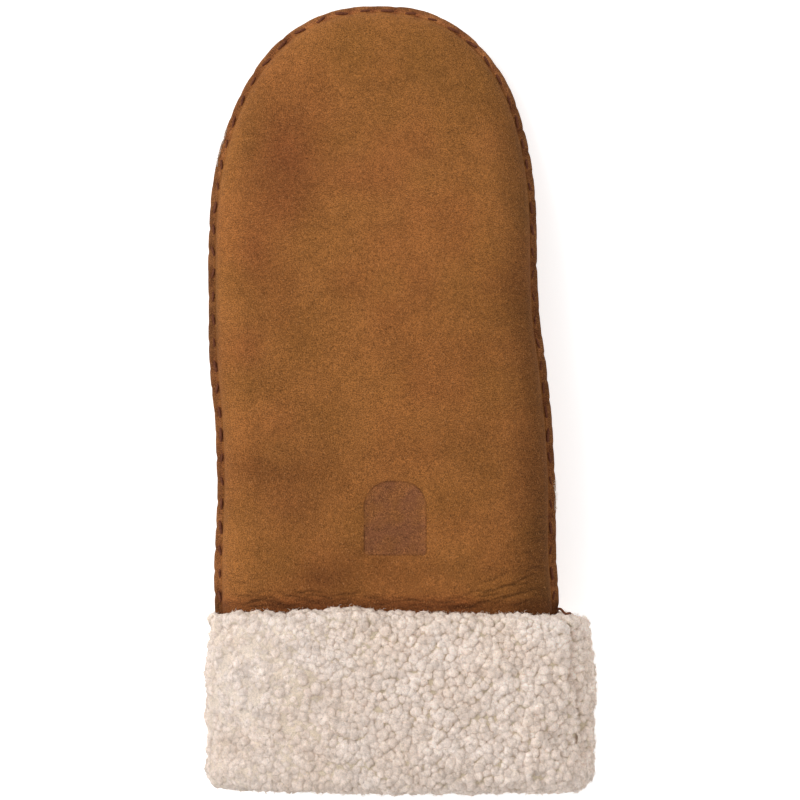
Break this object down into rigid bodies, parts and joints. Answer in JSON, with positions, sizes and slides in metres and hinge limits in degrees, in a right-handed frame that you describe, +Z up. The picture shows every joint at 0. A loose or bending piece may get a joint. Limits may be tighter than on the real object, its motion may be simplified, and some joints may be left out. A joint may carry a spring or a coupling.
{
  "type": "mitten",
  "caption": "Left-hand leather mitten with a wool lining and a deep turned-back wool cuff, lying palm down with its thumb tucked under.",
  "frame": {"origin": "under the middle of the mitten's box, on the surface that it lies on", "axes": "+Z up from that surface, +Y from the cuff to the fingertips, +X towards the thumb's side"},
  "size_m": [0.1338, 0.27, 0.0516],
  "materials": {
    "suede": "tan suede with a short, soft nap",
    "wool": "cream wool in small tight curls"
  },
  "bodies": {
    "root": {"back_panel": "suede", "palm_panel": "suede", "thumb": "suede", "wool_lining": "wool", "cuff_skin": "suede", "cuff_wool": "wool"}
  },
  "joints": []
}
